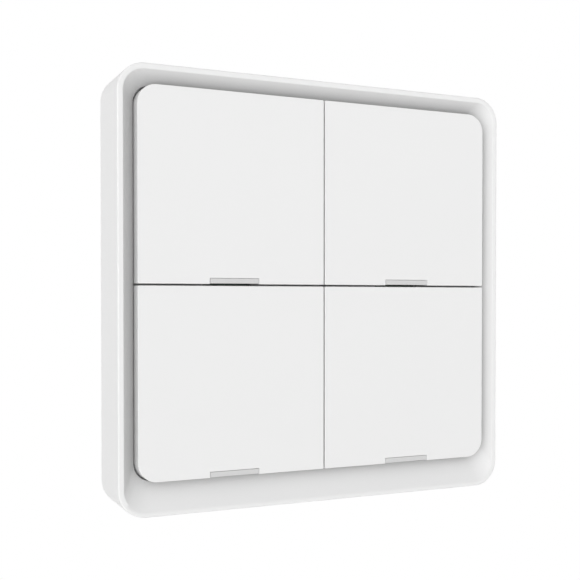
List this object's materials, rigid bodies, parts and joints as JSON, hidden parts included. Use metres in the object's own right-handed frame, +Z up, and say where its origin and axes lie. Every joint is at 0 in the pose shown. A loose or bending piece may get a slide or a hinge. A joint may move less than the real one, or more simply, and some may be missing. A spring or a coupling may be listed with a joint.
{
  "type": "smart button",
  "caption": "Square wireless smart button panel: hinged press keys with light windows in a dished frame, held on a screwed-on magnetic wall plate.",
  "frame": {"origin": "centre of the wall plate's back face, on the wall", "axes": "+Z up the wall, -Y out of the front towards the user, +Y into the wall, +X to the user's right"},
  "size_m": [0.086, 0.014, 0.086],
  "materials": {
    "moulded_white": "satin moulded ABS",
    "plate_white": "fine-textured ABS",
    "tray_grey": "fine-textured ABS",
    "carrier_grey": "moulded acetal",
    "frosted_clear": "frosted polycarbonate",
    "nickel": "nickel-plated magnet",
    "zinc_steel": "zinc-plated steel",
    "board_green": "solder mask over glass-fibre board",
    "radio_blue": "solder mask over glass-fibre board",
    "black_nylon": "moulded nylon",
    "plunger_grey": "moulded acetal",
    "lamp_resin": "cast resin",
    "chip_brown": "fired ceramic",
    "cell_steel": "nickel-plated steel",
    "gilt_bronze": "plated phosphor bronze"
  },
  "bodies": {
    "plate": {"wall_plate": "plate_white", "wall_magnets": "nickel"},
    "housing": {"bezel": "moulded_white", "rear_tray": "tray_grey", "keeper_discs": "zinc_steel", "key_carrier": "carrier_grey", "case_screws": "zinc_steel", "circuit_board": "board_green", "switch_bodies": "black_nylon", "switch_caps": "zinc_steel", "switch_terminals": "zinc_steel", "indicator_lamps": "lamp_resin", "radio_module": "radio_blue", "radio_can": "zinc_steel", "chip_parts": "chip_brown", "coin_cell": "cell_steel", "battery_spider": "gilt_bronze", "battery_leaf": "gilt_bronze"},
    "upper_left_key": {"key_upper_left": "moulded_white", "light_guide_upper_left": "frosted_clear"},
    "upper_right_key": {"key_upper_right": "moulded_white", "light_guide_upper_right": "frosted_clear"},
    "lower_left_key": {"key_lower_left": "moulded_white", "light_guide_lower_left": "frosted_clear"},
    "lower_right_key": {"key_lower_right": "moulded_white", "light_guide_lower_right": "frosted_clear"},
    "upper_left_plunger": {"plunger_upper_left": "plunger_grey"},
    "upper_right_plunger": {"plunger_upper_right": "plunger_grey"},
    "lower_left_plunger": {"plunger_lower_left": "plunger_grey"},
    "lower_right_plunger": {"plunger_lower_right": "plunger_grey"}
  },
  "joints": [
    {"name": "body_pull", "type": "slide", "parent": "plate", "child": "housing", "axis": [0, -1, 0], "range_m": [0, 0.03]},
    {"name": "upper_left_press", "type": "hinge", "parent": "housing", "child": "upper_left_key", "pos_m": [-0.01964, -0.01095, 0.03615], "axis": [1, 0, 0], "range_deg": [0, 1.19], "stiffness_Nm_per_rad": 0.8, "springref_deg": -1.15},
    {"name": "upper_right_press", "type": "hinge", "parent": "housing", "child": "upper_right_key", "pos_m": [0.01964, -0.01095, 0.03615], "axis": [1, 0, 0], "range_deg": [0, 1.19], "stiffness_Nm_per_rad": 0.8, "springref_deg": -1.15},
    {"name": "lower_left_press", "type": "hinge", "parent": "housing", "child": "lower_left_key", "pos_m": [-0.01964, -0.01095, -0.00193], "axis": [1, 0, 0], "range_deg": [0, 1.19], "stiffness_Nm_per_rad": 0.8, "springref_deg": -1.15},
    {"name": "lower_right_press", "type": "hinge", "parent": "housing", "child": "lower_right_key", "pos_m": [0.01964, -0.01095, -0.00193], "axis": [1, 0, 0], "range_deg": [0, 1.19], "stiffness_Nm_per_rad": 0.8, "springref_deg": -1.15},
    {"name": "upper_left_click", "type": "slide", "parent": "housing", "child": "upper_left_plunger", "axis": [0, 1, 0], "range_m": [0, 0.0005]},
    {"name": "upper_right_click", "type": "slide", "parent": "housing", "child": "upper_right_plunger", "axis": [0, 1, 0], "range_m": [0, 0.0005]},
    {"name": "lower_left_click", "type": "slide", "parent": "housing", "child": "lower_left_plunger", "axis": [0, 1, 0], "range_m": [0, 0.0005]},
    {"name": "lower_right_click", "type": "slide", "parent": "housing", "child": "lower_right_plunger", "axis": [0, 1, 0], "range_m": [0, 0.0005]}
  ],
  "couplings": [
    {"joint": "upper_left_click", "follows": "upper_left_press", "m_per_rad": 0.024},
    {"joint": "upper_right_click", "follows": "upper_right_press", "m_per_rad": 0.024},
    {"joint": "lower_left_click", "follows": "lower_left_press", "m_per_rad": 0.024},
    {"joint": "lower_right_click", "follows": "lower_right_press", "m_per_rad": 0.024}
  ]
}
